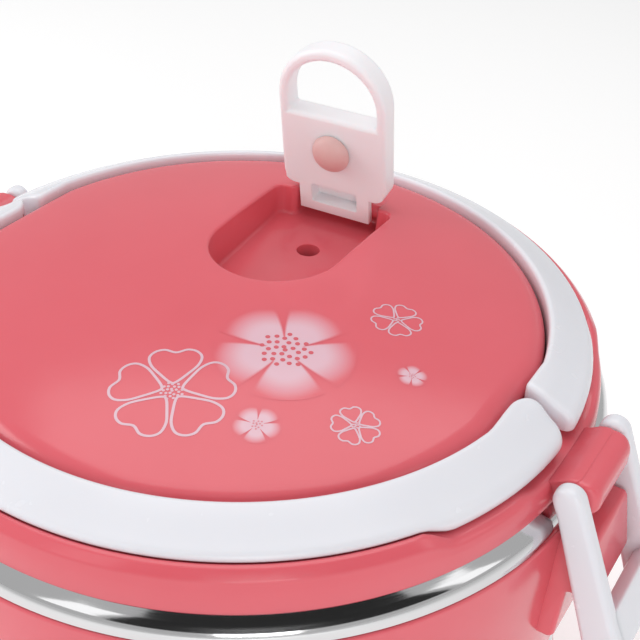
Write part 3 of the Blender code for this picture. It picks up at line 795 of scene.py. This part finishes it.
def build_vent_plug():
    front = TAB_FRONT
    dome = curve_between((0.0, front - 3.3), (2.6, front - 3.3), (4.8, front - 1.9), (4.8, front - 0.6), 14)
    profile = dome + [(4.7, front - 0.32), (2.3, front - 0.3), (2.3, TAB_BACK + 0.3), (3.35, TAB_BACK + 0.3),
                      (3.4, TAB_BACK + 0.6), (3.1, TAB_BACK + 0.9), (0.0, TAB_BACK + 0.9)]
    mesh_data = bmesh.new()
    rows = []
    for index in range(72):
        angle = 2.0 * math.pi * index / 72
        rows.append(add_loop(mesh_data, [(r * math.cos(angle), y, PLUG_HEIGHT + r * math.sin(angle))
                                         for r, y in profile]))
    for index, row in enumerate(rows):
        bridge(mesh_data, row, rows[(index + 1) % len(rows)], wrap=False)
    bmesh.ops.transform(mesh_data, matrix=vent_matrix(TAB_LEAN), verts=mesh_data.verts)
    finish_mesh("vent_plug_bead", mesh_data, silicone, "vent_cap", ["vent_plug"], 50.0)


# Clips

def clip_arm():
    """Arm in side view: (outward, along), with along running up from the hook to the pivot."""
    top = arc((0.0, 0.0), (3.1, 3.1), 0.0, 180.0, 20)
    inner = [(-2.9, -4.0), (-3.6, -27.1), (-3.8, -35.6), (-3.0, -37.9), (-1.2, -38.7)]
    outer = [(2.6, -38.5), (4.2, -37.1), (4.3, -34.6), (3.9, -28.1), (3.2, -4.0)]
    return top + rounded(inner + outer, 1.2, 3)


def clip_hook():
    """Plate between the arms, with the sloping ledge that goes under the catch."""
    return rounded([(-0.35, -28.5), (-3.65, -36.0), (-3.0, -37.9), (-1.2, -38.7), (2.6, -38.5), (4.2, -37.1),
                    (4.3, -34.6), (3.85, -26.35)], 0.9, 4, True)


def build_clip(name, sign, drop, body, node):
    mesh_data = bmesh.new()
    add_slab(mesh_data, clip_arm(), CLIP_WINDOW_HALF, CLIP_HALF_WIDTH, "Y", 1.35, 6)
    add_slab(mesh_data, clip_arm(), -CLIP_HALF_WIDTH, -CLIP_WINDOW_HALF, "Y", 1.35, 6)
    add_slab(mesh_data, clip_hook(), -CLIP_WINDOW_HALF - 1.4, CLIP_WINDOW_HALF + 1.4, "Y", 0.1, 1)
    turn = Matrix.Identity(4) if sign > 0.0 else Matrix.Rotation(math.pi, 4, "Z")
    place = Matrix.Translation((sign * CLIP_PIVOT_X * MM, 0.0, (LID_EDGE_Z - drop - CLIP_PIVOT_DROP) * MM))
    lean = Matrix.Rotation(-math.radians(CLIP_LEAN), 4, "Y")
    bmesh.ops.transform(mesh_data, matrix=place @ turn @ lean, verts=mesh_data.verts)
    finish_mesh(name, mesh_data, white_plastic, body, [node], 40.0)


# Tiers

def build_shell(name, drop, under, node, body, lugs):
    inside = [(0.0, SHELL_FLOOR), (73.5, SHELL_FLOOR), (76.6, SHELL_FLOOR + 3.4)]
    wall = [(79.5, -19.8), (81.1, -19.8), (81.4, -20.3), (81.2, -33.0), (80.7, -52.0),
            (79.7, SHELL_LOW + 16.0), (78.8, SHELL_LOW + 6.0)]
    section = rounded([(r, z - drop) for r, z in inside + wall + under], 0.7, 3)
    mesh_data = bmesh.new()
    add_turned(mesh_data, lambda azimuth: section)
    catch = [(79.2, -20.3), (87.2, -20.3), (87.8, -21.2), (90.3, -33.6), (89.3, -35.3), (84.3, -35.3),
             (83.8, -49.0), (82.8, -50.0), (79.2, -50.0)]
    for sign in (1.0, -1.0):
        outline = [(sign * x, z + LID_EDGE_Z - drop) for x, z in rounded(catch, 1.0, 4, True)]
        add_slab(mesh_data, outline, -CATCH_HALF_WIDTH, CATCH_HALF_WIDTH, "Y", 0.8)
    if lugs:
        add_lugs(mesh_data, TIER_PITCH)
    finish_mesh(name, mesh_data, pink_plastic, body, [node], 40.0)


def build_bowl(name, drop, node, body):
    inside = [(0.0, BOWL_FLOOR), (61.0, BOWL_FLOOR), (67.0, BOWL_FLOOR + 1.6), (70.3, BOWL_FLOOR + 5.8),
              (71.2, BOWL_FLOOR + 13.8), (73.6, -16.0)]
    crest = [(74.4, -13.7), (75.4, -13.4), (76.6, -13.6), (78.5, -14.9), (80.1, -16.1), (81.0, -18.0),
             (81.0, -19.5)]
    under = [(80.2, -19.5), (80.2, -18.2), (79.4, -16.6), (78.0, -15.6), (76.3, -14.5), (75.2, -14.4),
             (74.4, -16.2)]
    outside = [(72.0, BOWL_FLOOR + 13.8), (71.0, BOWL_FLOOR + 5.4), (67.4, BOWL_FLOOR + 0.8),
               (61.2, BOWL_FLOOR - 0.8), (0.0, BOWL_FLOOR - 0.8)]
    section = rounded([(r, z - drop) for r, z in inside + crest], 1.6, 4)
    section += rounded([(r, z - drop) for r, z in under + outside], 0.8, 3)
    mesh_data = bmesh.new()
    add_turned(mesh_data, lambda azimuth: section)
    finish_mesh(name, mesh_data, steel, body, [node], 50.0)


# Flower print on the dome

def smooth_through(points, steps=6):
    """Closed smooth curve through the points."""
    result = []
    count = len(points)
    for index in range(count):
        p0, p1, p2, p3 = (Vector(points[(index + offset) % count]) for offset in (-1, 0, 1, 2))
        for step in range(steps):
            t = step / steps
            point = 0.5 * ((2.0 * p1) + (p2 - p0) * t + (2.0 * p0 - 5.0 * p1 + 4.0 * p2 - p3) * t ** 2
                           + (3.0 * p1 - p0 - 3.0 * p2 + p3) * t ** 3)
            result.append((point.x, point.y))
    return result


def add_ink(mesh_data, layer, points, faces, centre, turn, lift):
    """Faces given in a flower's own plane; each point is (x, y, ink)."""
    c = math.cos(math.radians(turn))
    s = math.sin(math.radians(turn))
    verts = []
    for x, y, ink in points:
        place_x = centre[0] + x * c - y * s
        place_y = centre[1] + x * s + y * c
        z = LID_EDGE_Z + dome_height(math.hypot(place_x, place_y)) + lift
        vertex = mesh_data.verts.new((place_x * MM, place_y * MM, z * MM))
        vertex[layer] = ink
        verts.append(vertex)
    for face in faces:
        mesh_data.faces.new([verts[index] for index in face])


def add_line_flower(mesh_data, layer, centre, radius, width, turn):
    half = [(0.2, 0.05), (0.4, 0.235), (0.6, 0.385), (0.8, 0.435), (0.94, 0.35), (0.99, 0.19)]
    petal = half + [(0.92, 0.0)] + [(u, -v) for u, v in reversed(half)]
    outline = [(u * radius, v * radius) for u, v in smooth_through(petal)]
    outer = grown(list(reversed(outline)), width / 2.0)
    inner = grown(list(reversed(outline)), -width / 2.0)
    count = len(outer)
    points = [(x, y, 1.0) for x, y in outer + inner]
    faces = [(i, (i + 1) % count, count + (i + 1) % count, count + i) for i in range(count)]
    for index in range(5):
        add_ink(mesh_data, layer, points, faces, centre, turn + 72.0 * index, INK_LIFT)


def add_dots(mesh_data, layer, centre, count, spacing, size, ink, lift):
    for index in range(count):
        angle = GOLDEN_ANGLE * index
        reach = spacing * math.sqrt(index)
        dot = [(reach * math.cos(angle), reach * math.sin(angle), ink)]
        for step in range(12):
            turn = 2.0 * math.pi * step / 12
            dot.append((dot[0][0] + size * math.cos(turn), dot[0][1] + size * math.sin(turn), ink))
        faces = [(0, 1 + step, 1 + (step + 1) % 12) for step in range(12)]
        add_ink(mesh_data, layer, dot, faces, centre, 0.0, lift)


def add_soft_flower(mesh_data, layer, centre, radius, turn):
    """Filled petals whose ink fades out towards their tips."""
    rings = 20
    columns = 16
    points = []
    for ring in range(rings + 1):
        reach = ring / rings
        half = 36.0 - 9.0 * max(0.0, reach - 0.3)
        for column in range(columns + 1):
            across = 2.0 * column / columns - 1.0
            angle = math.radians(half * across)
            fade = 1.0 - ramp(reach + 0.1 * across * across, 0.58, 1.0) ** 1.2
            side = 1.0 if reach < 0.3 else ramp(1.0 - abs(across), 0.0, 0.12)
            points.append((radius * reach * math.cos(angle), radius * reach * math.sin(angle),
                           0.96 * max(0.0, fade) * side))
    faces = []
    for ring in range(rings):
        for column in range(columns):
            start = ring * (columns + 1) + column
            corners = (start, start + 1, start + columns + 2, start + columns + 1)
            faces.append(corners if ring else corners[1:])
    for index in range(5):
        add_ink(mesh_data, layer, points, faces, centre, turn + 72.0 * index, SOFT_INK_LIFT)


def build_print():
    mesh_data = bmesh.new()
    layer = mesh_data.verts.layers.float.new("print")
    add_soft_flower(mesh_data, layer, BIG_SOFT_FLOWER, 14.2, 18.0)
    add_dots(mesh_data, layer, BIG_SOFT_FLOWER, 31, 0.95, 0.52, 0.0, SOFT_DOT_LIFT)
    add_line_flower(mesh_data, layer, BIG_LINE_FLOWER, 11.7, 0.55, 52.0)
    add_dots(mesh_data, layer, BIG_LINE_FLOWER, 24, 0.47, 0.3, 0.95, INK_LIFT)
    for centre, radius, turn in SMALL_LINE_FLOWERS:
        add_line_flower(mesh_data, layer, centre, radius, 0.34, turn)
        add_dots(mesh_data, layer, centre, 9, 0.27, 0.22, 0.9, INK_LIFT)
    for centre, radius, turn in SMALL_SOFT_FLOWERS:
        add_soft_flower(mesh_data, layer, centre, radius, turn)
        add_dots(mesh_data, layer, centre, 12, 0.075 * radius, 0.045 * radius, 0.35, SOFT_DOT_LIFT)
    piece = finish_mesh("flower_print", mesh_data, print_plastic, None, [], 60.0, 1e-9)
    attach(piece, "lid")


# Pieces

build_lid_cover()
build_handle("handle_front_ring", -1.0, FRONT_END_Y, (4.5, 4.2), "front_handle", "handle_front")
build_handle("handle_rear_ring", 1.0, REAR_END_Y, (1.2, 1.5), "rear_handle", "handle_rear")
build_handle_pins()
build_vent_tab()
build_vent_plug()
for prefix, tier_drop in (("lid", 0.0), ("tier", TIER_PITCH)):
    for side, side_sign in (("right", 1.0), ("left", -1.0)):
        build_clip(f"{prefix}_clip_{side}_lever", side_sign, tier_drop, f"{side}_{prefix}_clip",
                   f"{prefix}_clip_{side}")
tier_flange = [(78.5, SHELL_LOW + 3.0), (FLANGE_RADIUS, SHELL_LOW - 0.3), (77.5, SHELL_LOW + 0.1),
               (76.3, SHELL_LOW + 1.2), (76.2, SHELL_UNDER), (0.0, SHELL_UNDER)]
foot_ring = [(78.4, SHELL_LOW + 2.5), (77.8, SHELL_LOW + 0.6), (77.0, SHELL_LOW), (72.5, SHELL_LOW),
             (71.6, SHELL_UNDER), (0.0, SHELL_UNDER)]
build_shell("upper_shell_cup", 0.0, tier_flange, "upper_shell", "upper_tier", True)
build_shell("lower_shell_cup", TIER_PITCH, foot_ring, "lower_shell", "lower_tier", False)
build_bowl("upper_bowl_steel", 0.0, "upper_bowl", "upper_tier")
build_bowl("lower_bowl_steel", TIER_PITCH, "lower_bowl", "lower_tier")
build_print()

for node_name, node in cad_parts.items():
    if "gasket" in node_name:
        choice = seal
    elif "pin" in node_name:
        choice = pin_steel
    elif node_name == "lid_liner":
        choice = white_plastic
    else:
        continue
    for material_slot in node.material_slots:
        material_slot.material = choice


# Stage, light and camera

def build_floor():
    mesh_data = bmesh.new()
    reach = 6.0
    corners = [mesh_data.verts.new((x * reach, y * reach, -0.0002))
               for x, y in ((-1, -1), (1, -1), (1, 1), (-1, 1))]
    mesh_data.faces.new(corners)
    mesh = bpy.data.meshes.new("floor")
    mesh_data.to_mesh(mesh)
    mesh_data.free()
    floor = bpy.data.objects.new("floor", mesh)
    bpy.context.scene.collection.objects.link(floor)
    material, _, shader = make_nodes("pale_floor")
    shader.inputs["Base Color"].default_value = (0.97, 0.97, 0.97, 1.0)
    shader.inputs["Roughness"].default_value = 0.9
    shader.inputs["Specular IOR Level"].default_value = 0.1
    shader.inputs["Emission Color"].default_value = (1.0, 1.0, 1.0, 1.0)
    shader.inputs["Emission Strength"].default_value = 0.1
    mesh.materials.append(material)


def add_softbox(name, place, size, power):
    """Rectangular area light aimed at the middle of the carrier; place and size are in metres."""
    light = bpy.data.lights.new(name, "AREA")
    light.shape = "RECTANGLE"
    light.size = size[0]
    light.size_y = size[1]
    light.energy = power
    lamp = bpy.data.objects.new(name, light)
    lamp.location = place
    lamp.rotation_mode = "QUATERNION"
    lamp.rotation_quaternion = (Vector(STUDIO_MIDDLE) - Vector(place)).to_track_quat("-Z", "Y")
    lamp.visible_camera = False
    bpy.context.scene.collection.objects.link(lamp)


def add_card(name, start, end, low, high, brightness):
    """Upright curved card round the stage, seen in reflections only; start and end are azimuths."""
    mesh_data = bmesh.new()
    count = max(2, round((end - start) / 6.0))
    rows = []
    for index in range(count + 1):
        angle = math.radians(start + (end - start) * index / count)
        rows.append([mesh_data.verts.new((CARD_REACH * math.cos(angle), CARD_REACH * math.sin(angle), z))
                     for z in (low, high)])
    for before, after in zip(rows, rows[1:]):
        mesh_data.faces.new((before[0], after[0], after[1], before[1]))
    mesh = bpy.data.meshes.new(name)
    mesh_data.to_mesh(mesh)
    mesh_data.free()
    card = bpy.data.objects.new(name, mesh)
    bpy.context.scene.collection.objects.link(card)
    card.visible_camera = False
    card.visible_diffuse = False
    card.visible_shadow = False
    card.visible_transmission = False
    material, _, shader = make_nodes(name)
    shader.inputs["Base Color"].default_value = (0.01, 0.01, 0.01, 1.0)
    shader.inputs["Roughness"].default_value = 1.0
    shader.inputs["Specular IOR Level"].default_value = 0.0
    shader.inputs["Emission Color"].default_value = (1.0, 1.0, 1.0, 1.0)
    shader.inputs["Emission Strength"].default_value = brightness
    mesh.materials.append(material)


def build_light():
    world = bpy.data.worlds.new("studio")
    world.use_nodes = True
    background = world.node_tree.nodes["Background"]
    background.inputs["Color"].default_value = (1.0, 1.0, 1.0, 1.0)
    background.inputs["Strength"].default_value = 0.53
    bpy.context.scene.world = world
    add_softbox("overhead_softbox", (-0.15, 0.25, 1.19), (1.0, 1.0), 4.9)
    add_softbox("left_softbox", (-1.0, -0.45, 0.59), (0.5, 0.9), 4.4)
    add_softbox("right_softbox", (0.75, -0.95, 0.54), (0.45, 0.8), 4.3)
    add_card("dark_card", -88.0, -3.0, 0.3, 2.0, 0.02)
    add_card("left_bright_card", -106.0, -91.0, 0.35, 1.2, 1.3)
    add_card("right_bright_card", 1.0, 14.0, 0.35, 1.1, 1.3)


def build_camera():
    data = bpy.data.cameras.new("camera")
    data.lens = 61.63
    data.sensor_width = 36.0
    camera = bpy.data.objects.new("camera", data)
    right = Vector((0.8448, 0.5337, 0.0369)).normalized()
    forward = Vector((-0.4204, 0.7051, -0.5710)).normalized()
    up = right.cross(forward)
    turn = Matrix((right, up, -forward)).transposed()
    camera.matrix_world = Matrix.Translation((0.1166, -0.1633, 0.2952)) @ turn.to_4x4()
    data.clip_start = 0.01
    data.clip_end = 50.0
    bpy.context.scene.collection.objects.link(camera)
    bpy.context.scene.camera = camera
    bpy.context.scene.view_settings.view_transform = "Standard"


build_floor()
build_light()
build_camera()
